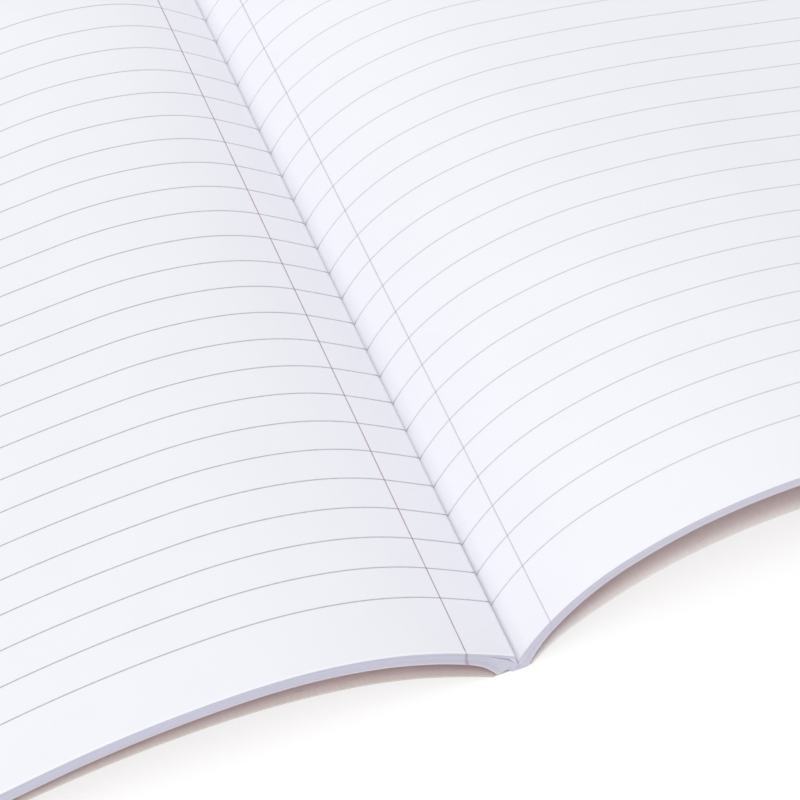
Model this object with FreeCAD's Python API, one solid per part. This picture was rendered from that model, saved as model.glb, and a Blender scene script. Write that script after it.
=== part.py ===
import FreeCAD, Part
import math
import os

# Open composition notebook, lying on its spine with both covers folded out.
# Units are millimetres. The origin is the centre of the flat underside of the spine.
# +Y runs along the spine from the tail to the head, +X lies towards the back cover, +Z is up.

# Leaves
page_width = 190.5
page_height = 247.65
left_thickness = 3.55
left_thickness_near_fold = 3.5
right_thickness = 2.7
right_thickness_near_fold = 2.65
corner_radius = 9.5

# Fold of the leaves
fold_height = 3.25
fold_width = 8.0
gutter_shift = 1.2
left_fold_swell = 0.7
right_fold_swell = 1.1

# Cover boards
card_thickness = 0.45
cover_width = 190.0
fold_to_card = 0.8

# Spine cloth
tape_thickness = 0.25
tape_overhang = 0.3
wing_width = 16.0
glue_film = 0.12

# Hinge lines, measured outward from the edge of the spine strip
hinge_offset = 0.1

# Stitches through the fold
thread_diameter = 0.6
stitch_pitch = 25.0
stitch_margin = 11.0
stitch_clearance = 0.1
leg_height = 2.2

# Free gap between the lowest leaf and the board it lies on, at the fore-edge
leaf_gap = 0.3

# Distances from the gutter, along the paper, where the bend of a section changes
first_station = 13.0
second_station = 35.0
third_station = 65.0
fourth_station = 110.0
stations = [first_station, second_station, third_station, fourth_station]

# Slopes in degrees at the gutter and at the stations. The slope at the fore-edge is worked
# out, so that the leaves come down on the cover.
left_page_tail = [34.5, 34.5, 18.0, 0.0, -13.0]
left_page_head = [40.0, 34.5, 7.5, -12.0, -4.5]
right_page_tail = [61.5, 48.5, 24.5, 7.0, -15.5]
right_page_head = [60.5, 37.5, 10.0, -12.5, -9.0]

# The same for the covers, at the spine, the first three stations and the fore-edge. The slope
# at the last station is worked out, so that the board comes down on the table.
front_cover_tail = [31.0, 27.0, 12.5, -0.5, -4.0]
front_cover_head = [34.0, 20.0, 3.5, -11.0, -2.0]
back_cover_tail = [52.5, 34.0, 18.0, 1.0, -13.0]
back_cover_head = [40.0, 25.0, 5.0, -13.0, -2.0]

steepest = 60.0
half_height = page_height / 2
gutter_z = tape_thickness + fold_height


def make_chain(start_x, start_z, slopes, width):
    """Tangent arcs, each with a start point, start and end slope and length."""
    lengths = []
    previous = 0.0
    for station in stations + [width]:
        lengths.append(station - previous)
        previous = station
    chain = []
    x = start_x
    z = start_z
    for index, length in enumerate(lengths):
        begin = math.radians(slopes[index])
        finish = math.radians(slopes[index + 1])
        arc = (x, z, begin, finish, length)
        chain.append(arc)
        x, z, slope = arc_point(arc, length)
    return chain


def arc_point(arc, distance):
    """Place and slope at a distance along one arc."""
    x, z, begin, finish, length = arc
    slope = begin + (finish - begin) * distance / length
    turn = slope - begin
    if abs(turn) < 1e-9:
        return x + distance * math.cos(begin), z + distance * math.sin(begin), slope
    radius = distance / turn
    end_x = x + radius * (math.sin(slope) - math.sin(begin))
    end_z = z + radius * (math.cos(begin) - math.cos(slope))
    return end_x, end_z, slope


def chain_point(chain, distance, drop=0.0):
    """Point at a distance along the chain, lowered by drop square to the paper."""
    rest = distance
    for arc in chain:
        if rest <= arc[4] or arc is chain[-1]:
            break
        rest -= arc[4]
    x, z, slope = arc_point(arc, rest)
    return x + drop * math.sin(slope), z - drop * math.cos(slope)


def chain_slope(chain, distance):
    """Slope in radians at a distance along the chain."""
    rest = distance
    for arc in chain:
        if rest <= arc[4] or arc is chain[-1]:
            break
        rest -= arc[4]
    return arc_point(arc, rest)[2]


def bisect(error, low, high):
    """Value between low and high where a rising error passes zero."""
    for step in range(60):
        middle = (low + high) / 2
        if error(middle) > 0:
            high = middle
        else:
            low = middle
    return (low + high) / 2


def cover_chain(slopes):
    """Outer face of a board, from its spine edge down to the table at its fore-edge."""
    start_x = fold_width / 2 + fold_to_card
    start_z = tape_thickness + glue_film

    def with_slope(slope):
        return make_chain(start_x, start_z, slopes[:-1] + [slope] + slopes[-1:], cover_width)

    def height_over_table(slope):
        return chain_point(with_slope(slope), cover_width)[1]

    return with_slope(bisect(height_over_table, -steepest, steepest))


def board_height(cover, x):
    """Height of a board's inner face at a distance x from the spine's middle."""
    def past(distance):
        return chain_point(cover, distance, -card_thickness)[0] - x

    return chain_point(cover, bisect(past, 0.0, cover_width), -card_thickness)[1]


def page_chain(gutter_x, slopes, thickness, cover):
    """Upper face of one half of the leaves, from the gutter to the fore-edge."""
    def with_slope(slope):
        return make_chain(gutter_x, gutter_z, slopes + [slope], page_width)

    def height_over_board(slope):
        x, z = chain_point(with_slope(slope), page_width, thickness)
        return z - board_height(cover, x) - leaf_gap

    return with_slope(bisect(height_over_board, -steepest, steepest))


def vector(point, y, side):
    """Point of a section in space. side is 1 towards the back cover and -1 towards the front."""
    return FreeCAD.Vector(side * point[0], y, point[1])


def arcs_along(chain, start, finish, start_drop, finish_drop, y, side):
    """Arcs from station to station along the chain, lowered by a changing drop."""
    limits = [start]
    limits += [station for station in stations if start < station < finish]
    limits += [finish]

    def drop_at(distance):
        share = (distance - start) / (finish - start)
        return start_drop + share * (finish_drop - start_drop)

    edges = []
    for low, high in zip(limits[:-1], limits[1:]):
        middle = (low + high) / 2
        points = [vector(chain_point(chain, u, drop_at(u)), y, side) for u in (low, middle, high)]
        edges.append(arc_through(*points))
    return edges


def line(first, second):
    return Part.LineSegment(first, second).toShape()


def arc_through(first, middle, last):
    """Arc through three points, or a straight edge where they lie in line."""
    if middle.distanceToLine(first, last - first) < 1e-5:
        return line(first, last)
    return Part.Arc(first, middle, last).toShape()


def end_of(edges):
    return edges[-1].Vertexes[-1].Point


def start_of(edges):
    return edges[0].Vertexes[0].Point


def band_wire(chain, start, finish, upper_drop, lower_drop, y, side):
    """Closed section of a band of even thickness that follows the chain."""
    upper = arcs_along(chain, start, finish, upper_drop, upper_drop, y, side)
    lower = arcs_along(chain, start, finish, lower_drop, lower_drop, y, side)
    edges = upper + [line(end_of(upper), end_of(lower))]
    edges += lower + [line(start_of(lower), start_of(upper))]
    return Part.Wire(Part.__sortEdges__(edges))


def half_section(chain, near_thickness, thickness, swell, y, side):
    """Open outline of one half of the leaves: gutter, upper face, fore-edge, underside, fold."""
    upper = arcs_along(chain, 0.0, page_width, 0.0, 0.0, y, side)
    inner = arcs_along(chain, first_station, second_station, near_thickness, thickness, y, side)
    outer = arcs_along(chain, second_station, page_width, thickness, thickness, y, side)
    fore_edge = line(end_of(upper), end_of(outer))
    corner = FreeCAD.Vector(side * fold_width / 2, y, tape_thickness)
    rise = start_of(inner) - corner
    square = FreeCAD.Vector(-rise.z, 0, rise.x)
    square.normalize()
    middle = corner + rise * 0.5 + square * (side * swell)
    fold = arc_through(corner, middle, start_of(inner))
    return upper + [fore_edge] + outer + inner + [fold]


def corner_cutter(chain, width, y, side, depth):
    """What is cut away to round a corner at the fore-edge, square to the paper there."""
    slope = chain_slope(chain, width)
    x, z = chain_point(chain, width)
    out = FreeCAD.Vector(side * math.cos(slope), 0, math.sin(slope))
    along = FreeCAD.Vector(0, math.copysign(1.0, y), 0)
    through = FreeCAD.Vector(side * math.sin(slope), 0, -math.cos(slope))
    tip = FreeCAD.Vector(side * x, y, z)
    reach = corner_radius
    centre = tip - out * corner_radius - along * corner_radius
    beside_tip = tip - along * corner_radius
    before_tip = tip - out * corner_radius
    on_round = centre + (out + along) * (corner_radius * math.sqrt(0.5))
    outline = [
        Part.Arc(beside_tip, on_round, before_tip).toShape(),
        line(before_tip, before_tip + along * reach),
        line(before_tip + along * reach, tip + along * reach + out * reach),
        line(tip + along * reach + out * reach, beside_tip + out * reach),
        line(beside_tip + out * reach, beside_tip),
    ]
    face = Part.Face(Part.Wire(outline))
    face.translate(through * -depth)
    return face.extrude(through * (2 * depth))


def round_corners(solid, tail_chain, head_chain, width, side, depth):
    for chain, y in ((tail_chain, -half_height), (head_chain, half_height)):
        solid = solid.cut(corner_cutter(chain, width, y, side, depth))
    return solid


def loft(tail_wire, head_wire):
    return Part.makeLoft([tail_wire, head_wire], True, True)


def make_cover(tail_chain, head_chain, side):
    """One board, arched off the table between its spine edge and its fore-edge."""
    wires = []
    for chain, y in ((tail_chain, -half_height), (head_chain, half_height)):
        wires.append(band_wire(chain, 0.0, cover_width, -card_thickness, 0.0, y, side))
    board = loft(*wires)
    return round_corners(board, tail_chain, head_chain, cover_width, side, 4 * card_thickness)


def make_wing(tail_chain, head_chain, side):
    """The part of the spine cloth that is glued to the outside of one board."""
    wires = []
    for chain, y in ((tail_chain, -half_height), (head_chain, half_height)):
        wires.append(band_wire(chain, 0.0, wing_width, glue_film, glue_film + tape_thickness, y, side))
    return loft(*wires)


def stitch_places():
    """Places of the needle holes along the fold."""
    run = page_height - 2 * stitch_margin
    count = int(run // stitch_pitch)
    first = -count * stitch_pitch / 2
    return [first + index * stitch_pitch for index in range(count + 1)]


def thread_shape(extra):
    """Outer run of the thread and a leg into each hole, made wider all round by extra."""
    radius = thread_diameter / 2 + extra
    centre_z = tape_thickness + thread_diameter / 2 + stitch_clearance
    places = stitch_places()
    length = places[-1] - places[0] + 2 * extra
    start = FreeCAD.Vector(0, places[0] - extra, centre_z)
    shape = Part.makeCylinder(radius, length, start, FreeCAD.Vector(0, 1, 0))
    for y in places:
        base = FreeCAD.Vector(0, y, centre_z)
        shape = shape.fuse(Part.makeCylinder(radius, leg_height + extra, base, FreeCAD.Vector(0, 0, 1)))
    return shape


def thread_channel():
    """Room for the thread in the fold: the needle holes and a groove open to the cloth."""
    room = thread_shape(stitch_clearance)
    places = stitch_places()
    half_width = thread_diameter / 2 + stitch_clearance
    length = places[-1] - places[0] + 2 * stitch_clearance
    corner = FreeCAD.Vector(-half_width, places[0] - stitch_clearance, 0)
    groove = Part.makeBox(2 * half_width, length, tape_thickness + half_width, corner)
    return room.fuse(groove)


def make_leaves(left, right):
    """Both halves of the folded section, joined at the fold."""
    wires = []
    for index, y in enumerate((-half_height, half_height)):
        left_edges = half_section(left[index], left_thickness_near_fold, left_thickness,
                                  left_fold_swell, y, -1)
        right_edges = half_section(right[index], right_thickness_near_fold, right_thickness,
                                   right_fold_swell, y, 1)
        flat = line(FreeCAD.Vector(-fold_width / 2, y, tape_thickness),
                    FreeCAD.Vector(fold_width / 2, y, tape_thickness))
        wires.append(Part.Wire(Part.__sortEdges__(left_edges + right_edges + [flat])))
    block = loft(*wires)
    block = round_corners(block, left[0], left[1], page_width, -1, 3 * left_thickness)
    block = round_corners(block, right[0], right[1], page_width, 1, 3 * left_thickness)
    return block.cut(thread_channel())


def make_strip():
    """The part of the spine cloth under the fold."""
    half = fold_width / 2 + tape_overhang
    corner = FreeCAD.Vector(-half, -half_height, 0)
    return Part.makeBox(2 * half, page_height, tape_thickness, corner)


def save(name, shape):
    solid = shape.Solids[0]
    solid.exportStep("parts/" + name + ".step")
    box = solid.BoundBox
    print(name, len(shape.Solids), shape.isValid(), round(solid.Volume, 1),
          [round(value, 3) for value in (box.XMin, box.YMin, box.ZMin, box.XMax, box.YMax, box.ZMax)])


os.makedirs("parts", exist_ok=True)

front = [cover_chain(front_cover_tail), cover_chain(front_cover_head)]
back = [cover_chain(back_cover_tail), cover_chain(back_cover_head)]
left_leaves = [
    page_chain(-gutter_shift, left_page_tail, left_thickness, front[0]),
    page_chain(-gutter_shift, left_page_head, left_thickness, front[1]),
]
right_leaves = [
    page_chain(gutter_shift, right_page_tail, right_thickness, back[0]),
    page_chain(gutter_shift, right_page_head, right_thickness, back[1]),
]

save("page_block", make_leaves(left_leaves, right_leaves))
save("front_cover", make_cover(front[0], front[1], -1))
save("back_cover", make_cover(back[0], back[1], 1))
save("spine_tape", make_strip())
save("spine_tape_front_wing", make_wing(front[0], front[1], -1))
save("spine_tape_back_wing", make_wing(back[0], back[1], 1))
save("sewing_thread", thread_shape(0.0))

hinge_x = fold_width / 2 + tape_overhang + hinge_offset
hinge_z = tape_thickness / 2
print("hinge lines at x", -hinge_x, hinge_x, "z", hinge_z)
for name, chain in (("front", front), ("back", back), ("left", left_leaves), ("right", right_leaves)):
    for end, arcs in zip(("tail", "head"), chain):
        print(name, end, "slopes", [round(math.degrees(arc[3]), 2) for arc in arcs])
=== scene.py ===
import math
from collections import namedtuple

import bpy
import numpy as np
from mathutils import Matrix, Vector


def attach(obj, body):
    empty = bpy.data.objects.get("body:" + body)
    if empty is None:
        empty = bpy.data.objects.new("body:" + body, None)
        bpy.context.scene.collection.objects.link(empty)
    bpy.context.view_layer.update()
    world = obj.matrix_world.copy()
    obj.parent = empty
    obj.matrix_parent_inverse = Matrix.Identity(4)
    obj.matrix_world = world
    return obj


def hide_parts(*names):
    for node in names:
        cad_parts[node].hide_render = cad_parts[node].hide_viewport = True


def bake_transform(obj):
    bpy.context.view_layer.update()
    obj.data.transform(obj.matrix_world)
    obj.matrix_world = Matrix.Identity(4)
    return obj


# Open composition notebook. Lengths are in millimetres until a mesh is made.
# u runs along the paper from the gutter to the fore-edge, v from the tail to the head,
# and w through the leaves or the card, from the face that shows to the one below.

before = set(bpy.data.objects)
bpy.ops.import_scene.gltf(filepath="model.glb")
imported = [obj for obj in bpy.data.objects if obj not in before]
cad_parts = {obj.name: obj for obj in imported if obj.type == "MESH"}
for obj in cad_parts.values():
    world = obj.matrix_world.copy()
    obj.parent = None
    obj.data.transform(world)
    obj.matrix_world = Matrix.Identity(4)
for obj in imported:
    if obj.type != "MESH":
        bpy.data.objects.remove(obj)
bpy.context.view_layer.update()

MM = 0.001

# Sizes of the solid model
PAGE_WIDTH = 190.5
HEIGHT = 247.65
HALF_HEIGHT = HEIGHT / 2
CORNER_RADIUS = 9.5
FOLD_HEIGHT = 3.25
FOLD_WIDTH = 8.0
GUTTER_SHIFT = 1.2
CARD_THICKNESS = 0.45
COVER_WIDTH = 190.0
FOLD_TO_CARD = 0.8
TAPE_THICKNESS = 0.25
WING_WIDTH = 16.0
GLUE_FILM = 0.12
LEAF_GAP = 0.3
GUTTER_Z = TAPE_THICKNESS + FOLD_HEIGHT
STATIONS = [13.0, 35.0, 65.0, 110.0]
STEEPEST = 60.0
# A bend below this, in radians a millimetre, counts as straight
STRAIGHT = 1e-9
HALVINGS = 60

# Print on the leaves
RULE_PITCH = 8.73125
FIRST_RULE = 15.716
RULE_COUNT = 24
LEFT_MARGIN = 13.93
RIGHT_MARGIN = 12.62
# How far a margin line's end moves towards the gutter through the whole depth of a half
NEST_SHIFT = 2.05
# Half width of a printed line and width of its soft rim, on a page and on the cut edges
PAGE_RULE = (0.06, 0.20)
PAGE_MARGIN = (0.08, 0.18)
EDGE_RULE = (0.10, 0.20)
EDGE_MARGIN = (0.26, 0.20)

# The crease in the gutter: its place, and how far from it the pages roll into it
CREASE_X = 0.98
CREASE_Z = 3.0
LEFT_CREASE_REACH = 1.1
RIGHT_CREASE_REACH = 0.5
# How far beside the crease the left page turns down into it
CREASE_LEAN = 0.03
# Width of the rounding at the foot of the fold
FOLD_ROUND = 1.3
# The trim of the tail edge fades out over this distance from the tail
TRIM_FADE = 40.0
# Near the gutter, between these distances, the lower trim takes over between these depths
GUTTER_ZONE = (0.5, 2.2)
EARLY_DEPTHS = (0.15, 0.4)

# Between these distances from its spine edge a board's pull towards the fold dies away
PULL_FADE = (7.0, 24.0)
FRONT_PULL = 0.0
BACK_PULL = 0.75

# Steps of a sheet's outline in a round corner and along the fore-edge, and rows of the cloth
CORNER_STEPS = 12
EDGE_STEPS = 46
CLOTH_ROWS = 60

# Edges with a larger angle between their faces are shaded sharp
SLAB_SHARP = math.radians(32)
CLOTH_SHARP = math.radians(40)

rng = np.random.default_rng(11)

Arc = namedtuple("Arc", "x z begin finish length")


def arc_point(arc, distance):
    """Place and slope at a distance along one arc of a section."""
    bend = (arc.finish - arc.begin) / arc.length
    slope = arc.begin + bend * distance
    if abs(bend) < STRAIGHT:
        along = distance * math.cos(arc.begin)
        up = distance * math.sin(arc.begin)
    else:
        along = (np.sin(slope) - math.sin(arc.begin)) / bend
        up = (math.cos(arc.begin) - np.cos(slope)) / bend
    return arc.x + along, arc.z + up, slope


def make_chain(start_x, start_z, slopes, width):
    """Tangent arcs of a section. slopes, in degrees, are at its start, stations and end."""
    chain = []
    x = start_x
    z = start_z
    for index, length in enumerate(np.diff([0.0] + STATIONS + [width])):
        begin = math.radians(slopes[index])
        finish = math.radians(slopes[index + 1])
        arc = Arc(x, z, begin, finish, length)
        chain.append(arc)
        x, z = arc_point(arc, length)[:2]
    return chain


def chain_at(chain, distance, drop=0.0):
    """Points at distances along the chain, lowered by drop square to the paper."""
    distance = np.asarray(distance, float)
    x = np.zeros(distance.shape)
    z = np.zeros(distance.shape)
    slope = np.zeros(distance.shape)
    start = 0.0
    for index, arc in enumerate(chain):
        rest = distance - start
        here = rest >= 0 if index else np.full(distance.shape, True)
        bent = np.clip(rest, 0.0, arc.length)
        arc_x, arc_z, arc_slope = arc_point(arc, bent)
        beyond = rest - bent
        x = np.where(here, arc_x + beyond * np.cos(arc_slope), x)
        z = np.where(here, arc_z + beyond * np.sin(arc_slope), z)
        slope = np.where(here, arc_slope, slope)
        start += arc.length
    return x + drop * np.sin(slope), z - drop * np.cos(slope)


def bisect(error, low, high):
    """Value between low and high where a rising error passes zero."""
    for halving in range(HALVINGS):
        middle = (low + high) / 2
        if error(middle) > 0:
            high = middle
        else:
            low = middle
    return (low + high) / 2


def cover_chain(slopes):
    """Outer face of a board, from its spine edge down to the table at its fore-edge."""
    start_x = FOLD_WIDTH / 2 + FOLD_TO_CARD
    start_z = TAPE_THICKNESS + GLUE_FILM

    def with_slope(slope):
        return make_chain(start_x, start_z, slopes[:-1] + [slope] + slopes[-1:], COVER_WIDTH)

    def height_over_table(slope):
        return chain_at(with_slope(slope), COVER_WIDTH)[1]

    return with_slope(bisect(height_over_table, -STEEPEST, STEEPEST))


def board_height(cover, x):
    """Height of a board's inner face at a distance x from the spine's middle."""

    def past(distance):
        return chain_at(cover, distance, -CARD_THICKNESS)[0] - x

    return chain_at(cover, bisect(past, 0.0, COVER_WIDTH), -CARD_THICKNESS)[1]


def page_chain(gutter_x, slopes, thickness, cover):
    """Upper face of one half of the leaves, from the gutter to the fore-edge."""

    def with_slope(slope):
        return make_chain(gutter_x, GUTTER_Z, slopes + [slope], PAGE_WIDTH)

    def height_over_board(slope):
        x, z = chain_at(with_slope(slope), PAGE_WIDTH, thickness)
        return z - board_height(cover, x) - LEAF_GAP

    return with_slope(bisect(height_over_board, -STEEPEST, STEEPEST))


def ramp(value, low, high):
    """0 below low, 1 above high and a soft step between them."""
    share = np.clip((value - low) / (high - low), 0.0, 1.0)
    return share * share * (3 - 2 * share)


def arc_between(first, middle, last, share):
    """Points on the arc through three points. share goes from 0 at first to 1 at last."""
    first, middle, last = (np.array(point) for point in (first, middle, last))
    chord = last - first
    length = np.hypot(*chord)
    square = np.array([-chord[1], chord[0]]) / length
    swell = (middle - first - chord / 2) @ square
    radius = (length * length / 4 + swell * swell) / (2 * abs(swell))
    half_turn = math.asin(min(1.0, length / 2 / radius))
    turn = (2 * share - 1) * half_turn
    along = 0.5 + radius * np.sin(turn) / length
    rise = math.copysign(1.0, swell) * radius * (np.cos(turn) - math.cos(half_turn))
    x = first[0] + chord[0] * along + square[0] * rise
    z = first[1] + chord[1] * along + square[1] * rise
    return x, z


class Half:
    """One half of the leaves: side -1 over the front cover, 1 over the back cover.

    tail and head are the slopes of the two sections, covers the boards' sections below them.
    near and far are the thickness near the fold and beyond. reach is how far the page rolls
    into the crease. The fold bulges by swell between the leaves and corner, its foot. hollow
    is a low space under the fold: where it starts, is highest and ends, and its height. trim
    and low_trim say how far the upper and lower leaves' tail edges lie inside the tail plane.
    """

    def __init__(self, side, tail, head, covers, near, far, swell, reach, corner, hollow,
                 trim, low_trim):
        self.side = side
        self.near = near
        self.far = far
        self.swell = swell
        self.reach = reach
        self.corner = corner
        self.hollow = hollow
        self.trim = trim
        self.low_trim = low_trim
        self.gutter_x = side * GUTTER_SHIFT
        self.chains = [page_chain(self.gutter_x, slopes, far, cover)
                       for slopes, cover in zip((tail, head), covers)]

    def upper(self, chain, u):
        """Upper face of a section, with the crease in the gutter."""
        x, z = chain_at(chain, u)
        start_x, start_z = chain_at(chain, self.reach)
        end_x = self.side * CREASE_X
        end_z = CREASE_Z
        if self.side > 0:
            turn_x = (start_x + end_x) / 2
            turn_z = (start_z + end_z) / 2
        else:
            turn_x = end_x + CREASE_LEAN
            turn_z = start_z - (start_x - turn_x) * math.tan(chain[0].begin)
        share = 1 - np.clip(u / self.reach, 0.0, 1.0)
        from_start = (1 - share) ** 2
        from_turn = 2 * share * (1 - share)
        from_end = share ** 2
        curve_x = from_start * start_x + from_turn * turn_x + from_end * end_x
        curve_z = from_start * start_z + from_turn * turn_z + from_end * end_z
        inside = u < self.reach
        return np.where(inside, curve_x, x), np.where(inside, curve_z, z)

    def lower(self, chain, u):
        """Underside of a section: flat under the gutter, then the fold and the lowest leaf."""
        first, second = STATIONS[:2]
        share = np.clip((u - first) / (second - first), 0.0, 1.0)
        x, z = chain_at(chain, u, self.near + (self.far - self.near) * share)
        top = np.array(chain_at(chain, first, self.near))
        corner = np.array(self.corner)
        rise = top - corner
        square = np.array([-rise[1], rise[0]]) / np.hypot(*rise)
        middle = corner + rise / 2 + square * self.swell
        flat = corner[0] - self.gutter_x
        up_fold = np.clip((u - flat) / (first - flat), 0.0, 1.0)
        fold_x, fold_z = arc_between(corner, middle, top, up_fold)
        x = np.where(u < first, fold_x, x)
        z = np.where(u < first, fold_z, z)
        under_x = self.gutter_x + np.maximum(u, 0.0)
        rounding = np.clip((under_x - corner[0] + FOLD_ROUND) / FOLD_ROUND, 0.0, 1.0) ** 2
        start, highest, end, height = self.hollow
        hollow = ramp(under_x, start, highest) * (1 - ramp(under_x, highest, end)) * height
        under_z = TAPE_THICKNESS + (corner[1] - TAPE_THICKNESS) * rounding + hollow
        under = u < flat
        return np.where(under, under_x, x), np.where(under, under_z, z)

    def place(self, u, v, w):
        """Points of the half in the row frame, in millimetres."""
        at_gutter = 1 - ramp(u, *GUTTER_ZONE)
        low = w + (ramp(w, *EARLY_DEPTHS) - w) * at_gutter
        trim = np.interp(u, *self.trim) * (1 - low) + np.interp(u, *self.low_trim) * low
        v = v + trim * (1 - ramp(v, 0.0, TRIM_FADE))
        share = v / HEIGHT
        sections = []
        for chain in self.chains:
            upper_x, upper_z = self.upper(chain, u)
            lower_x, lower_z = self.lower(chain, u)
            x = upper_x + (lower_x - upper_x) * w
            z = upper_z + (lower_z - upper_z) * w
            sections.append((x, z))
        tail, head = sections
        x = tail[0] * (1 - share) + head[0] * share
        z = tail[1] * (1 - share) + head[1] * share
        return np.stack([self.side * x, v - HALF_HEIGHT, z], axis=-1)


def pulled(u, pull):
    """How far a board and its cloth are drawn in at a distance from the spine edge."""
    return pull * (1 - ramp(u, *PULL_FADE))


class Board:
    """One cover board. w goes from its inner face to its outer face."""

    def __init__(self, side, chains, pull):
        self.side = side
        self.chains = chains
        self.pull = pull

    def place(self, u, v, w):
        """Points of the board in the row frame, in millimetres."""
        share = v / HEIGHT
        drop = (w - 1) * CARD_THICKNESS
        tail = chain_at(self.chains[0], u, drop)
        head = chain_at(self.chains[1], u, drop)
        x = tail[0] * (1 - share) + head[0] * share - pulled(u, self.pull)
        z = tail[1] * (1 - share) + head[1] * share
        return np.stack([self.side * x, v - HALF_HEIGHT, z], axis=-1)


def outline_path(width, inset):
    """Rows of a sheet with two round fore-edge corners: their v, the u where each ends, and
    the direction in which the edge faces there, from the tail at 0 to the head at pi.
    """
    radius = CORNER_RADIUS - inset
    turn = np.linspace(0.0, math.pi / 2, CORNER_STEPS + 1)
    low_v = inset + radius * (1 - np.cos(turn))
    low_u = width - CORNER_RADIUS + radius * np.sin(turn)
    straight = np.linspace(inset + radius, HEIGHT - inset - radius, EDGE_STEPS + 1)[1:-1]
    rows_v = np.concatenate([low_v, straight, HEIGHT - low_v[::-1]])
    rows_end = np.concatenate([low_u, np.full(straight.shape, width - inset), low_u[::-1]])
    rows_out = np.concatenate([turn, np.full(straight.shape, math.pi / 2), math.pi - turn[::-1]])
    return rows_v, rows_end, rows_out


def grid_quads(index):
    """Faces between the rows and columns of a grid of point numbers."""
    corners = [index[:-1, :-1], index[:-1, 1:], index[1:, 1:], index[1:, :-1]]
    return np.stack(corners, axis=-1).reshape(-1, 4)


def fill_uv(mesh, label, values):
    """UV map from values in millimetres for each point of the mesh."""
    corners = np.zeros(len(mesh.loops), dtype=np.int32)
    mesh.loops.foreach_get("vertex_index", corners)
    layer = mesh.uv_layers.new(name=label)
    layer.data.foreach_set("uv", (values[corners] * MM).astype(np.float32).ravel())


def slab_mesh(name, shape, width, columns, layers, inset=0.0):
    """Closed mesh of a sheet or pile of sheets.

    layers are rows of the wall from the upper face to the lower one. Each is a pair of
    functions: w at a distance u, and how far the row stands out at a way along the wall.
    Faces get material 0, the wall material 1. UV map paper has u and v in metres, and UV map
    edge has the way along the wall and the depth.
    """
    rows_v, rows_end, rows_out = outline_path(width, inset)
    grid_u = rows_end[:, None] * columns[None, :]
    grid_v = np.repeat(rows_v[:, None], columns.size, axis=1)
    count_rows, count_columns = grid_u.shape
    index = np.arange(grid_u.size).reshape(grid_u.shape)

    loop = np.concatenate([index[0, :], index[1:, -1], index[-1, -2::-1]])
    loop_u = grid_u.ravel()[loop]
    loop_v = grid_v.ravel()[loop]
    out = np.concatenate([
        np.zeros(count_columns),
        rows_out[1:],
        np.full(count_columns - 1, math.pi),
    ])
    out[count_columns - 1] = rows_out[0]
    out_u = np.sin(out)
    out_v = -np.cos(out)
    way = np.concatenate([[0.0], np.cumsum(np.hypot(np.diff(loop_u), np.diff(loop_v)))])

    upper = shape.place(grid_u, grid_v, np.zeros(grid_u.shape)).reshape(-1, 3)
    lower = shape.place(grid_u, grid_v, np.ones(grid_u.shape)).reshape(-1, 3)
    points = [upper, lower]
    paper = [np.stack([grid_u.ravel(), grid_v.ravel()], axis=1)] * 2
    edge = [np.zeros((grid_u.size, 2))] * 2
    low_start = grid_u.size
    wall_start = 2 * grid_u.size

    wall = [loop]
    for row, (depth, stand) in enumerate(layers):
        w = depth(loop_u)
        standing = stand(way)
        points.append(shape.place(loop_u + standing * out_u, loop_v + standing * out_v, w))
        paper.append(np.stack([loop_u, loop_v], axis=1))
        edge.append(np.stack([way, w], axis=1))
        wall.append(wall_start + row * loop.size + np.arange(loop.size))
    wall.append(low_start + loop)
    wall = np.array(wall)

    quads = grid_quads(index)
    faces = quads.tolist() + (quads[:, ::-1] + low_start).tolist()
    materials = [0] * len(faces)
    wall_quads = grid_quads(wall)[:, ::-1]
    faces += wall_quads.tolist()
    materials += [1] * len(wall_quads)

    spine = index[:, 0]
    for row in range(count_rows - 1):
        ring = [spine[row + 1], spine[row + 1] + low_start, spine[row] + low_start, spine[row]]
        if row == 0:
            ring = [spine[1], spine[1] + low_start] + wall[::-1, 0].tolist()
        if row == count_rows - 2:
            ring = wall[:, -1].tolist() + [spine[row] + low_start, spine[row]]
        faces.append([int(corner) for corner in ring][::-1])
        materials.append(1)

    points = np.concatenate(points) * MM
    if shape.side > 0:
        faces = [list(reversed(face)) for face in faces]
    mesh = bpy.data.meshes.new(name)
    mesh.from_pydata(points.tolist(), [], [face[::-1] for face in faces])
    mesh.polygons.foreach_set("material_index", np.array(materials, dtype=np.int32))
    fill_uv(mesh, "paper", np.concatenate(paper))
    fill_uv(mesh, "edge", np.concatenate(edge))
    mesh.shade_smooth()
    mesh.set_sharp_from_angle(angle=SLAB_SHARP)
    mesh.update()
    return mesh


def add_object(name, mesh, *materials):
    """Object with its materials in the slots of the mesh."""
    item = bpy.data.objects.new(name, mesh)
    bpy.context.scene.collection.objects.link(item)
    for material in materials:
        mesh.materials.append(material)
    return item


# Materials

def srgb(red, green, blue):
    """Linear colour with alpha from screen values of 0 to 255, by the sRGB standard."""
    linear = []
    for value in (red, green, blue):
        share = value / 255
        linear.append(share / 12.92 if share <= 0.04045 else ((share + 0.055) / 1.055) ** 2.4)
    return (*linear, 1.0)


USUAL_NOISE = (0.3, 0.7)


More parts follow.
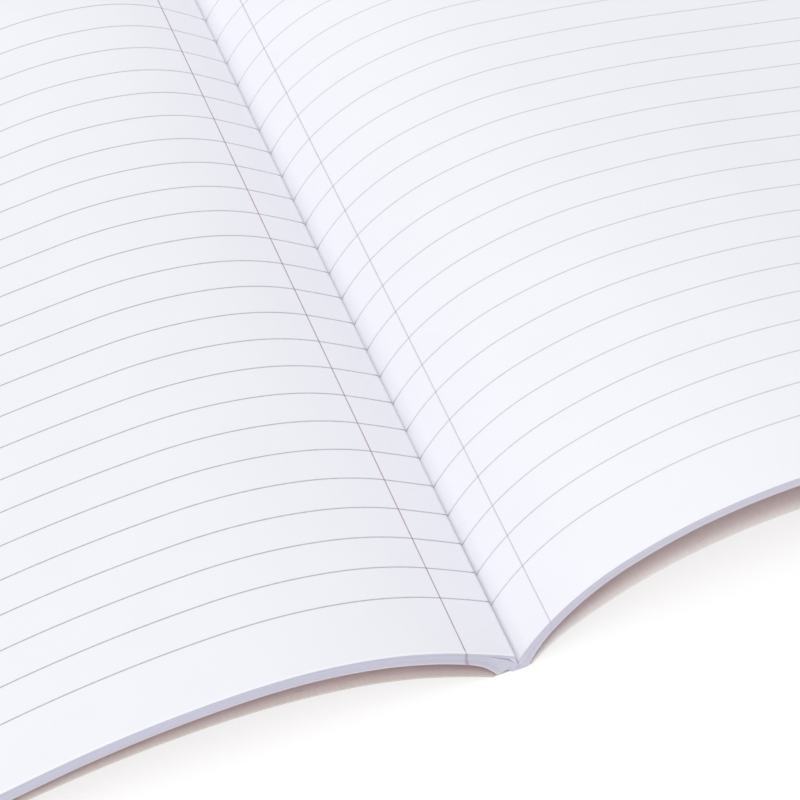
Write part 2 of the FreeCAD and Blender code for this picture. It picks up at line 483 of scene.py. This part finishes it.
class Tree:
    """Short calls for building a node material."""

    def __init__(self, name):
        self.material = bpy.data.materials.new(name)
        self.material.use_nodes = True
        self.nodes = self.material.node_tree.nodes
        self.links = self.material.node_tree.links
        self.nodes.clear()
        self.output = self.nodes.new("ShaderNodeOutputMaterial")

    def put(self, socket, value):
        if isinstance(value, bpy.types.NodeSocket):
            self.links.new(value, socket)
        else:
            socket.default_value = value

    def node(self, kind, inputs, output=0, **settings):
        item = self.nodes.new(kind)
        for key, value in settings.items():
            setattr(item, key, value)
        for key, value in inputs.items():
            self.put(item.inputs[key], value)
        return item.outputs[output]

    def math(self, operation, first, second=0.0, clamp=False):
        return self.node("ShaderNodeMath", {0: first, 1: second}, operation=operation,
                         use_clamp=clamp)

    def times(self, first, *others):
        """Product of several values."""
        for other in others:
            first = self.math("MULTIPLY", first, other)
        return first

    def scale(self, value, low, high, start=0.0, end=1.0, kind="LINEAR"):
        """start where the value is low, end where it is high, and a straight run between."""
        inputs = {"Value": value, "From Min": low, "From Max": high,
                  "To Min": start, "To Max": end}
        return self.node("ShaderNodeMapRange", inputs, interpolation_type=kind)

    def vary(self, noise, start, end):
        """start where a noise is at its usual lowest, end where it is at its usual highest."""
        return self.scale(noise, *USUAL_NOISE, start, end)

    def step(self, value, low, high, start=0.0, end=1.0):
        """As scale, with a soft run between."""
        return self.scale(value, low, high, start, end, "SMOOTHSTEP")

    def mix(self, factor, first, second, blend="MIX"):
        return self.node("ShaderNodeMix", {0: factor, 6: first, 7: second}, output=2,
                         data_type="RGBA", blend_type=blend)

    def stretch(self, vector, x, y):
        return self.node("ShaderNodeMapping", {"Vector": vector, "Scale": (x, y, 1.0)})

    def noise(self, vector, scale, detail=2.0, roughness=0.5):
        inputs = {"Vector": vector, "Scale": scale, "Detail": detail, "Roughness": roughness}
        return self.node("ShaderNodeTexNoise", inputs)

    def uv(self, layer):
        return self.node("ShaderNodeUVMap", {}, uv_map=layer)

    def split(self, vector):
        item = self.nodes.new("ShaderNodeSeparateXYZ")
        self.links.new(vector, item.inputs[0])
        return item.outputs

    def bump(self, height, distance, strength):
        inputs = {"Height": height, "Distance": distance, "Strength": strength}
        return self.node("ShaderNodeBump", inputs)

    def finish(self, colour, roughness, normal, specular):
        inputs = {"Base Color": colour, "Roughness": roughness, "Normal": normal,
                  "Specular IOR Level": specular}
        shader = self.node("ShaderNodeBsdfPrincipled", inputs)
        self.links.new(shader, self.output.inputs["Surface"])
        return self.material


WHITE = (1.0, 1.0, 1.0, 1.0)
# Colour of the painted shade in the crease of the gutter
PAINTED_CREASE_SHADE = srgb(190, 190, 203)
FLECK_TONE = (0.80, 0.78, 0.76, 1.0)
# Length of one wave of the cloth's weave, and of one turn of the thread
WEAVE_PITCH = 0.42
TWIST_PITCH = 0.7


def rule_mask(tree, v, half_width, soft):
    """1 on a ruled line, 0 between the lines."""
    place = tree.math("DIVIDE", tree.math("SUBTRACT", v, FIRST_RULE * MM), RULE_PITCH * MM)
    away = tree.math("ABSOLUTE", tree.math("SUBTRACT", place, tree.math("ROUND", place)))
    line = tree.step(away, half_width / RULE_PITCH, (half_width + soft) / RULE_PITCH, 1.0, 0.0)
    below = tree.math("GREATER_THAN", place, -0.5)
    above = tree.math("LESS_THAN", place, RULE_COUNT - 0.5)
    return tree.times(line, below, above)


def margin_mask(tree, u, margin, half_width, soft):
    """1 on the margin line, 0 beside it."""
    away = tree.math("ABSOLUTE", tree.math("SUBTRACT", u, margin * MM))
    return tree.step(away, half_width * MM, (half_width + soft) * MM, 1.0, 0.0)


def page_material(name, paper, margin, rule_ink, margin_ink, rule_strength,
                  margin_strength, fold_shade_level, fold_shade_reach, rim_highlight):
    """Uncoated writing paper with ruled lines across it and one margin line.

    fold_shade_level is how much of the paper's tone is left at the fold, as painted shade of the
    gutter. It is full at fold_shade_reach.
    rim_highlight is a painted highlight that lightens the rim of the tail edge.
    """
    tree = Tree(name)
    vector = tree.uv("paper")
    u, v = tree.split(vector)[:2]
    cloud = tree.noise(vector, 60.0, 3.0, 0.55)
    fibre = tree.noise(tree.stretch(vector, 1.0, 0.35), 2600.0, 3.0, 0.6)
    shade = tree.vary(cloud, 0.985, 1.0)
    grain = tree.vary(fibre, 0.985, 1.005)
    lighter_head = tree.step(v, 90.0 * MM, 240.0 * MM, 1.0, 1.03)
    base = tree.mix(1.0, paper, tree.times(shade, grain, lighter_head), "MULTIPLY")
    ink_wear = tree.scale(tree.noise(vector, 900.0, 2.0), 0.35, 0.65, 0.82, 1.0)
    rule_ink_left = tree.times(ink_wear, rule_strength)
    paler_head = tree.step(v, 110.0 * MM, 230.0 * MM, 1.0, 0.78)
    # Painted shade: the ruled lines darken in the crease at the fold
    rules_in_fold_shade = tree.step(u, 0.4 * MM, 2.2 * MM, 1.5, 1.0)
    rules = tree.times(rule_mask(tree, v, *PAGE_RULE), rule_ink_left, paler_head)
    rules = tree.math("MULTIPLY", rules, rules_in_fold_shade, clamp=True)
    margin_ink_left = tree.times(ink_wear, margin_strength)
    margins = tree.times(margin_mask(tree, u, margin, *PAGE_MARGIN), margin_ink_left)
    colour = tree.mix(rules, base, rule_ink)
    colour = tree.mix(margins, colour, margin_ink)
    # Painted shade: the page greys towards the crease, most towards the tail
    crease = tree.times(tree.step(u, 0.2 * MM, 1.2 * MM, 0.26, 0.0),
                        tree.step(v, 10.0 * MM, 60.0 * MM, 1.0, 0.3))
    colour = tree.mix(crease, colour, PAINTED_CREASE_SHADE)
    # Painted shade: the page darkens towards the fold, where the gutter lies in shade
    painted_fold_shade = tree.step(u, 0.0, fold_shade_reach * MM, fold_shade_level, 1.0)
    colour = tree.mix(1.0, colour, painted_fold_shade, "MULTIPLY")
    # Painted highlight along the rim of the tail edge
    rim = tree.step(v, 0.3 * MM, 0.9 * MM, rim_highlight, 0.0)
    colour = tree.mix(rim, colour, WHITE)
    normal = tree.bump(fibre, 0.00002, 0.35)
    return tree.finish(colour, tree.vary(fibre, 0.86, 0.94), normal, 0.2)


def edge_material(name, paper, painted_bounce, foot, margin, tick_ink, tick_strength):
    """Cut edges of the leaves, with the ends of the printed lines on them.

    On the last leaves the edge takes a warmer colour, a painted reflection of light bounced up
    from the card, from foot millimetres along the paper.
    """
    tree = Tree(name)
    vector = tree.uv("paper")
    u, v = tree.split(vector)[:2]
    edge = tree.uv("edge")
    depth = tree.split(edge)[1]
    streak = tree.noise(tree.stretch(edge, 0.5, 6000.0), 60.0, 2.0, 0.5)
    rough = tree.noise(tree.stretch(edge, 1.0, 900.0), 2400.0, 2.0, 0.6)
    tone = tree.times(tree.vary(streak, 0.90, 1.03),
                      tree.vary(rough, 0.96, 1.02))
    base = tree.mix(1.0, paper, tone, "MULTIPLY")
    # Painted reflection: light bounced from the card tints the edges of the last leaves
    bounce_leaves = tree.step(depth, 0.82 * MM, 0.94 * MM)
    past_foot = tree.step(u, foot * MM, (foot + 0.8) * MM)
    base = tree.mix(tree.times(bounce_leaves, past_foot, 0.7), base, painted_bounce)
    nested = tree.math("ADD", u, tree.times(depth, NEST_SHIFT))
    ends = tree.math("MAXIMUM", rule_mask(tree, v, *EDGE_RULE),
                     margin_mask(tree, nested, margin, *EDGE_MARGIN))
    broken = tree.scale(rough, 0.35, 0.6, 0.65, 1.0)
    colour = tree.mix(tree.times(ends, tree.times(broken, tick_strength)), base, tick_ink)
    normal = tree.bump(rough, 0.00003, 0.5)
    return tree.finish(colour, 0.9, normal, 0.15)


def card_material(name, card, painted_edge_light):
    """Thin matt card with short fibres and a faint mottle. Its own colour is made darker as
    painted shade under the leaves, and it turns paler along its three free edges as a painted
    highlight.
    """
    tree = Tree(name)
    vector = tree.uv("paper")
    u, v = tree.split(vector)[:2]
    ends = tree.math("MINIMUM", v, tree.math("SUBTRACT", HEIGHT * MM, v))
    from_edge = tree.math("MINIMUM", ends, tree.math("SUBTRACT", COVER_WIDTH * MM, u))
    # Painted light and shade: paler at the free edges where light reaches, darker further in
    # under the leaves
    card = tree.mix(tree.step(from_edge, 0.2 * MM, 2.6 * MM), painted_edge_light, card)
    cloud = tree.noise(vector, 45.0, 4.0, 0.6)
    fibre = tree.noise(tree.stretch(vector, 1.0, 0.3), 1500.0, 4.0, 0.65)
    flecks = tree.noise(tree.stretch(vector, 0.4, 1.0), 700.0, 2.0, 0.5)
    tone = tree.times(tree.vary(cloud, 0.96, 1.02),
                      tree.vary(fibre, 0.95, 1.03))
    base = tree.mix(1.0, card, tone, "MULTIPLY")
    darker = tree.mix(1.0, card, FLECK_TONE, "MULTIPLY")
    colour = tree.mix(tree.step(flecks, 0.66, 0.74, 0.0, 0.45), base, darker)
    normal = tree.bump(fibre, 0.00004, 0.5)
    return tree.finish(colour, tree.vary(fibre, 0.78, 0.9), normal, 0.25)


def cloth_material(name, thread, gap):
    """Plain woven book cloth."""
    tree = Tree(name)
    vector = tree.uv("paper")
    u, v = tree.split(vector)[:2]
    turn = 2 * math.pi / (WEAVE_PITCH * MM)
    across = tree.math("SINE", tree.times(u, turn))
    along = tree.math("SINE", tree.times(v, turn))
    weave = tree.times(across, along)
    height = tree.math("MAXIMUM", tree.math("ABSOLUTE", across), tree.math("ABSOLUTE", along))
    slub = tree.noise(tree.stretch(vector, 1.0, 0.15), 900.0, 3.0, 0.6)
    mask = tree.math("ADD", tree.scale(weave, -1.0, 1.0, 0.35, 0.75),
                     tree.vary(slub, -0.2, 0.2))
    colour = tree.mix(mask, gap, thread)
    normal = tree.bump(tree.math("ADD", height, tree.times(slub, 0.5)), 0.00005, 0.6)
    return tree.finish(colour, 0.85, normal, 0.2)


def thread_material(name, cotton):
    """Twisted cotton thread, its twist running at an angle to the thread."""
    tree = Tree(name)
    coordinates = tree.nodes.new("ShaderNodeTexCoord").outputs["Object"]
    x, y, z = tree.split(coordinates)
    slant = tree.math("ADD", tree.math("ADD", x, y), z)
    twist = tree.math("SINE", tree.times(slant, 2 * math.pi / (TWIST_PITCH * MM)))
    fuzz = tree.noise(coordinates, 9000.0, 2.0)
    tone = tree.times(tree.scale(twist, -1.0, 1.0, 0.72, 1.0),
                      tree.vary(fuzz, 0.93, 1.03))
    colour = tree.mix(1.0, cotton, tone, "MULTIPLY")
    normal = tree.bump(tree.math("ADD", twist, fuzz), 0.00005, 0.7)
    return tree.finish(colour, 0.85, normal, 0.2)


PAPER_LEFT = srgb(244, 244, 251)
PAPER_RIGHT = srgb(246, 246, 253)
left_page_look = page_material(
    "ruled_paper_left", PAPER_LEFT, LEFT_MARGIN,
    rule_ink=srgb(150, 149, 158), margin_ink=srgb(145, 83, 149),
    rule_strength=0.78, margin_strength=0.76, fold_shade_level=0.95, fold_shade_reach=14.0, rim_highlight=0.3)
right_page_look = page_material(
    "ruled_paper_right", PAPER_RIGHT, RIGHT_MARGIN,
    rule_ink=srgb(168, 166, 178), margin_ink=srgb(156, 140, 167),
    rule_strength=0.60, margin_strength=0.50, fold_shade_level=0.91, fold_shade_reach=5.5, rim_highlight=0.0)
left_edge_look = edge_material(
    "leaf_edges_left", srgb(219, 219, 234), painted_bounce=srgb(238, 224, 230), foot=4.5,
    margin=LEFT_MARGIN, tick_ink=srgb(160, 138, 170), tick_strength=0.55)
right_edge_look = edge_material(
    "leaf_edges_right", srgb(222, 220, 233), painted_bounce=srgb(240, 228, 234), foot=1.8,
    margin=RIGHT_MARGIN, tick_ink=srgb(190, 182, 196), tick_strength=0.18)
# The front board's colours are darker than the back's as painted shade: less light reaches the
# gap under the left leaves
front_card_look = card_material("front_card", srgb(221, 199, 198), srgb(216, 204, 199))
back_card_look = card_material("back_card", srgb(225, 206, 204), srgb(232, 225, 222))
cloth_look = cloth_material("book_cloth", srgb(228, 217, 211), srgb(196, 183, 177))
thread_look = thread_material("thread", srgb(236, 233, 224))

# Sections of the covers, at the tail and at the head
front_chains = [cover_chain([31.0, 27.0, 12.5, -0.5, -4.0]),
                cover_chain([34.0, 20.0, 3.5, -11.0, -2.0])]
back_chains = [cover_chain([52.5, 34.0, 18.0, 1.0, -13.0]),
               cover_chain([40.0, 25.0, 5.0, -13.0, -2.0])]

# How far the trimmed tail edge lies inside the tail plane, at distances from the gutter
left_trim = ([0.0, 6.0, 15.0, 25.0, 40.0, 60.0], [1.0, 1.0, 0.6, 0.35, 0.2, 0.0])
right_trim = ([0.0, 8.0, 20.0, 50.0, 80.0, 120.0], [0.1, 0.0, -0.2, -0.35, -0.8, -1.1])
left_low_trim = ([0.0, 2.0, 2.6, 3.8, 4.6, 5.5, 8.0, 15.0, 25.0, 40.0, 60.0],
                 [-0.1, -0.1, 0.35, 0.4, 0.3, 0.4, 0.75, 0.6, 0.35, 0.2, 0.0])
right_low_trim = ([0.0, 4.0, 20.0, 50.0, 80.0, 120.0], [-0.1, -0.15, -0.2, -0.35, -0.8, -1.1])

left_half = Half(
    side=-1, tail=[34.5, 34.5, 18.0, 0.0, -13.0], head=[40.0, 34.5, 7.5, -12.0, -4.5],
    covers=front_chains, near=3.5, far=3.55, swell=0.7, reach=LEFT_CREASE_REACH,
    corner=(3.75, 0.25), hollow=(0.5, 1.2, 3.3, 0.8), trim=left_trim, low_trim=left_low_trim)
right_half = Half(
    side=1, tail=[61.5, 48.5, 24.5, 7.0, -15.5], head=[60.5, 37.5, 10.0, -12.5, -9.0],
    covers=back_chains, near=2.65, far=2.7, swell=0.73, reach=RIGHT_CREASE_REACH,
    corner=(3.3, 0.5), hollow=(1.3, 1.9, 2.6, 0.0), trim=right_trim, low_trim=right_low_trim)

# Share of the paper's width for each column of the mesh, closer together near the gutter
COLUMNS = np.concatenate([
    np.array([0.0, 0.12, 0.24, 0.36, 0.5, 0.7, 0.95, 1.25, 1.6, 2.0, 2.3, 2.65]),
    np.array([3.0, 3.35, 3.7, 4.1, 4.5, 4.95]),
    np.arange(5.6, 16.0, 0.8),
    np.linspace(16.0, 72.0, 29)[:-1],
    np.linspace(72.0, 190.5, 36),
]) / PAGE_WIDTH


# How deep the wall goes in at a fine groove and at a wedge gap
GROOVE_DEPTH = 0.25
WEDGE_DEPTH = 1.6
# Where the wedge gaps begin, and the gap above the last leaf, in leaves
WEDGE_START = 0.35
LAST_GAP = 0.35
# The nose of the turned-back leaves: its length, and the part of their depth at its tip
NOSE = 0.8
NOSE_TIP = 0.04
# How much thicker these leaves lie at the nose, and where that has died away
NOSE_SWELL = 1.2
SWELL_END = 5.5


def leaf_layers(leaves, folded, wedges, groove_every):
    """Rows of the wall of one half.

    folded is the number of upper leaves that turn back near the gutter. wedges are the gaps
    between leaves there: (leaf above, widest gap in leaves, distance where it is widest,
    distance where it closes). After every groove_every leaves there is a fine groove.
    """
    stand = rng.uniform(-0.05, 0.05, leaves)
    stand[0] = 0.0
    sway = rng.uniform(0.0, 0.02, leaves)
    phase = rng.uniform(0.0, 2 * math.pi, leaves)
    length = rng.uniform(60.0, 220.0, leaves)
    gaps = np.zeros(leaves)
    grooves = gaps[groove_every - 1:-1:groove_every]
    grooves[:] = rng.uniform(0.05, 0.2, grooves.size)
    gaps[-2] = LAST_GAP

    def gap_at(leaf, u):
        extra = 0.0
        for above, widest, peak, close in wedges:
            if above == leaf:
                extra = widest * ramp(u, WEDGE_START, peak) * (1 - ramp(u, peak, close))
        return gaps[leaf] + extra

    def pack_share(u):
        """Share of the depth that the turned-back leaves take, with a blunt, swollen nose."""
        nose = np.sqrt(1 - (1 - np.clip(u / NOSE, 0.0, 1.0)) ** 2)
        swollen = 1 + NOSE_SWELL * (1 - ramp(u, NOSE, SWELL_END))
        return folded / leaves * (NOSE_TIP + (1 - NOSE_TIP) * nose) * swollen

    def depth_of(leaf, bottom):
        """w of the upper or lower face of a leaf."""
        def depth(u):
            edges = [np.zeros(np.shape(u))]
            for number in range(leaves):
                edges.append(edges[-1] + 1.0)
                edges.append(edges[-1] + gap_at(number, u))
            edges = np.array(edges)
            edge = edges[2 * leaf + (1 if bottom else 0)]
            share = pack_share(u)
            split = edges[2 * folded]
            whole = edges[-2]
            if leaf < folded:
                return share * edge / split
            return share + (1 - share) * (edge - split) / (whole - split)

        return depth

    def stand_of(leaf, back=0.0):
        """How far a leaf stands out, with a slow wave along the wall."""
        def out(way):
            wave = np.sin(way / length[leaf] * 2 * math.pi + phase[leaf])
            return stand[leaf] + sway[leaf] * wave - back

        return out

    over_wedge = {wedge[0] for wedge in wedges}
    rows = []
    for leaf in range(leaves):
        if leaf > 0:
            rows.append((depth_of(leaf, False), stand_of(leaf)))
        if leaf < leaves - 1:
            rows.append((depth_of(leaf, True), stand_of(leaf)))
        if gaps[leaf] > 0 or leaf in over_wedge:
            back = WEDGE_DEPTH if leaf in over_wedge else GROOVE_DEPTH
            rows.append((depth_of(leaf, True), stand_of(leaf, back)))
            rows.append((depth_of(leaf + 1, False), stand_of(leaf, back)))
    return rows


left_rows = leaf_layers(40, 7, [(1, 0.5, 2.6, 6.0), (6, 2.2, 3.0, 8.5)], 7)
right_rows = leaf_layers(30, 0, [], 7)

for name, half, rows, page_look, edge_look in (
        ("left_leaves", left_half, left_rows, left_page_look, left_edge_look),
        ("right_leaves", right_half, right_rows, right_page_look, right_edge_look)):
    mesh = slab_mesh(name, half, PAGE_WIDTH, COLUMNS, rows)
    leaves = add_object(name, mesh, page_look, edge_look)
    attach(leaves, "leaves")
    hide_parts("page_block")

# Cover boards

# Radius of the rounding along their cut edges
ROUND = 0.10


def constant(value):
    """Function that gives the same value for each place."""
    return lambda places: np.full(np.shape(places), value)


def board_rows():
    """Rows of a board's wall, around its two rounded edges."""
    rounded = []
    for turn in (45.0, 90.0):
        depth = ROUND * (1 - math.cos(math.radians(turn))) / CARD_THICKNESS
        rounded.append((depth, ROUND * math.sin(math.radians(turn))))
    rounded += [(1 - depth, stand) for depth, stand in reversed(rounded)]
    return [(constant(depth), constant(stand)) for depth, stand in rounded]


board_columns = np.concatenate([
    np.linspace(0.0, 16.0, 12)[:-1],
    np.linspace(16.0, 190.0, 60),
]) / COVER_WIDTH
for name, side, chains, pull, body, look in (
        ("front_board", -1, front_chains, FRONT_PULL, "front", front_card_look),
        ("back_board", 1, back_chains, BACK_PULL, "back", back_card_look)):
    mesh = slab_mesh(name, Board(side, chains, pull), COVER_WIDTH, board_columns, board_rows(),
                     inset=ROUND)
    board = add_object(name, mesh, look, look)
    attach(board, body)
    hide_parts(body + "_cover")

# Spine cloth: flat under the fold, then bent up along the outside of the board

# Distance from a board's outer face to the middle of the cloth
CLOTH_DROP = 0.15
# Distance of the cloth's ends from the tail and the head
CLOTH_INSET = 0.35
# A little thinner than the solid, so that two faces never share a plane
CLOTH_HALF = TAPE_THICKNESS / 2 - 0.005
# Where the flat part ends, how far beyond it the bend begins, and where on the board it ends
FLAT_END = 3.9
BEND_GAP = 0.2
WING_START = 0.5
# Points along the flat part, the bend and the wing
FLAT_POINTS = 8
BEND_POINTS = 7
WING_POINTS = 26
# Length of the bend's two handles, as a share of its chord
BEND_HANDLE = 0.4


def cloth_line(chain, pull):
    """Middle line of the cloth in a section, from under the fold to the edge of the wing."""
    flat_end = FLAT_END - pull
    flat = np.stack([np.linspace(0.0, flat_end, FLAT_POINTS),
                     np.full(FLAT_POINTS, TAPE_THICKNESS / 2)], axis=1)
    start = np.array([flat_end + BEND_GAP, TAPE_THICKNESS / 2])
    end = np.array(chain_at(chain, WING_START, CLOTH_DROP)) - [pull, 0.0]
    slope = chain[0].begin
    reach = np.hypot(*(end - start)) * BEND_HANDLE
    first = start + np.array([reach, 0.0])
    second = end - np.array([math.cos(slope), math.sin(slope)]) * reach
    t = np.linspace(0.0, 1.0, BEND_POINTS)[:, None]
    bend = ((1 - t) ** 3 * start + 3 * t * (1 - t) ** 2 * first
            + 3 * t * t * (1 - t) * second + t ** 3 * end)
    along = np.linspace(WING_START, WING_WIDTH, WING_POINTS)[1:]
    wing = np.stack(chain_at(chain, along, CLOTH_DROP), axis=1)
    wing[:, 0] -= pulled(along, pull)
    return np.concatenate([flat, bend, wing])


def cloth_mesh(name, side, chains, pull):
    """Strip of cloth with an upper and a lower face and thin edges."""
    lines = [cloth_line(chain, pull) for chain in chains]
    share = np.linspace(0.0, 1.0, CLOTH_ROWS)[:, None, None]
    middle = lines[0][None] * (1 - share) + lines[1][None] * share
    run = np.gradient(middle, axis=1)
    run /= np.linalg.norm(run, axis=2, keepdims=True)
    square = np.stack([-run[..., 1], run[..., 0]], axis=-1)
    y = np.broadcast_to((share[..., 0] - 0.5) * (HEIGHT - 2 * CLOTH_INSET), middle.shape[:2])
    sheets = []
    for sign in (1, -1):
        face = middle + square * (CLOTH_HALF * sign)
        sheets.append(np.stack([side * face[..., 0], y, face[..., 1]], axis=-1))
    count = middle.shape[1]
    index = np.arange(CLOTH_ROWS * count).reshape(CLOTH_ROWS, count)
    low_start = index.size
    quads = grid_quads(index)
    faces = quads.tolist() + (quads[:, ::-1] + low_start).tolist()
    ring, low_ring = (
        np.concatenate([grid[0, :], grid[1:, -1], grid[-1, -2::-1], grid[-2::-1, 0]])
        for grid in (index, index + low_start))
    faces += np.stack([low_ring[:-1], low_ring[1:], ring[1:], ring[:-1]], axis=-1).tolist()
    if side < 0:
        faces = [face[::-1] for face in faces]
    points = np.concatenate([sheet.reshape(-1, 3) for sheet in sheets]) * MM
    mesh = bpy.data.meshes.new(name)
    mesh.from_pydata(points.tolist(), [], faces)
    lengths = np.linalg.norm(np.diff(lines[0], axis=0), axis=1)
    way = np.concatenate([[0.0], np.cumsum(lengths)])
    flat = np.stack(np.broadcast_arrays(way[None, :], y + HALF_HEIGHT), axis=-1).reshape(-1, 2)
    fill_uv(mesh, "paper", np.concatenate([flat, flat]))
    mesh.shade_smooth()
    mesh.set_sharp_from_angle(angle=CLOTH_SHARP)
    return mesh


for name, side, chains, pull, body in (
        ("spine_cloth_front", -1, front_chains, FRONT_PULL, "front"),
        ("spine_cloth_back", 1, back_chains, BACK_PULL, "back")):
    cloth = add_object(name, cloth_mesh(name, side, chains, pull), cloth_look)
    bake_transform(cloth)
    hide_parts("spine_tape", "spine_tape_" + body + "_wing")

# The stitches are the solid model's own
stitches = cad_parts["sewing_thread"]
stitches.data.materials.clear()
stitches.data.materials.append(thread_look)

# Floor, sky and lamp

FLOOR_REACH = 6.0
FLOOR_TONE = (0.86, 0.86, 0.86, 1.0)
# What the camera sees of the floor: a tone that takes shadows, and a glow that lifts it
SEEN_TONE = (0.32, 0.32, 0.32, 1.0)
SEEN_GLOW = 0.74
SKY_LIGHT = 0.59
LAMP_PLACE = (-0.75, -1.15, 2.45)
LAMP_SIZE = 2.0
LAMP_POWER = 41.0


def floor_material():
    """Pale matt floor that a camera ray sees as white and that keeps a light shadow."""
    tree = Tree("floor_white")
    diffuse = tree.node("ShaderNodeBsdfDiffuse", {"Color": FLOOR_TONE})
    toned = tree.node("ShaderNodeBsdfDiffuse", {"Color": SEEN_TONE})
    glow = tree.node("ShaderNodeEmission", {"Color": WHITE, "Strength": SEEN_GLOW})
    lifted = tree.node("ShaderNodeAddShader", {0: toned, 1: glow})
    seen = tree.nodes.new("ShaderNodeLightPath").outputs["Is Camera Ray"]
    shader = tree.node("ShaderNodeMixShader", {0: seen, 1: diffuse, 2: lifted})
    tree.links.new(shader, tree.output.inputs["Surface"])
    return tree.material


floor_mesh = bpy.data.meshes.new("floor")
floor_corners = [(x * FLOOR_REACH, y * FLOOR_REACH, 0)
                 for x, y in ((-1, -1), (1, -1), (1, 1), (-1, 1))]
floor_mesh.from_pydata(floor_corners, [], [(0, 1, 2, 3)])
floor = add_object("floor", floor_mesh, floor_material())

scene = bpy.context.scene
world = bpy.data.worlds.new("studio")
scene.world = world
world.use_nodes = True
sky = world.node_tree
sky.nodes.clear()
# The camera sees a white sky, and the sky lights the scene with less
sky_out = sky.nodes.new("ShaderNodeOutputWorld")
sky_mix = sky.nodes.new("ShaderNodeMixShader")
sky_path = sky.nodes.new("ShaderNodeLightPath")
sky.links.new(sky_path.outputs["Is Camera Ray"], sky_mix.inputs[0])
for socket, strength in ((1, SKY_LIGHT), (2, 1.0)):
    background = sky.nodes.new("ShaderNodeBackground")
    background.inputs["Color"].default_value = WHITE
    background.inputs["Strength"].default_value = strength
    sky.links.new(background.outputs[0], sky_mix.inputs[socket])
sky.links.new(sky_mix.outputs[0], sky_out.inputs["Surface"])

lamp = bpy.data.lights.new("key", "AREA")
lamp.shape = "SQUARE"
lamp.size = LAMP_SIZE
lamp.energy = LAMP_POWER
lamp_item = bpy.data.objects.new("key", lamp)
scene.collection.objects.link(lamp_item)
lamp_item.location = LAMP_PLACE
lamp_item.rotation_euler = (-Vector(LAMP_PLACE)).to_track_quat("-Z", "Y").to_euler()

scene.view_settings.view_transform = "Standard"

# Camera at the angle of the photograph

AZIMUTH = math.radians(-16.98769)
ELEVATION = math.radians(50.21993)
ROLL = math.radians(4.5006)
AIM = Vector((0.00374393, -0.04395705, 0.0))
DISTANCE = 0.64866954
LENS = 126.487
SENSOR = 36.0

back = Vector((math.sin(AZIMUTH) * math.cos(ELEVATION),
               -math.cos(AZIMUTH) * math.cos(ELEVATION),
               math.sin(ELEVATION)))
level = (-back).cross(Vector((0, 0, 1))).normalized()
down = (-back).cross(level)
right = math.cos(ROLL) * level + math.sin(ROLL) * down
lower = -math.sin(ROLL) * level + math.cos(ROLL) * down
camera_data = bpy.data.cameras.new("camera")
camera_data.lens = LENS
camera_data.sensor_width = SENSOR
camera = bpy.data.objects.new("camera", camera_data)
scene.collection.objects.link(camera)
turned = Matrix((right, -lower, back)).transposed().to_4x4()
camera.matrix_world = Matrix.Translation(AIM + back * DISTANCE) @ turned
scene.camera = camera
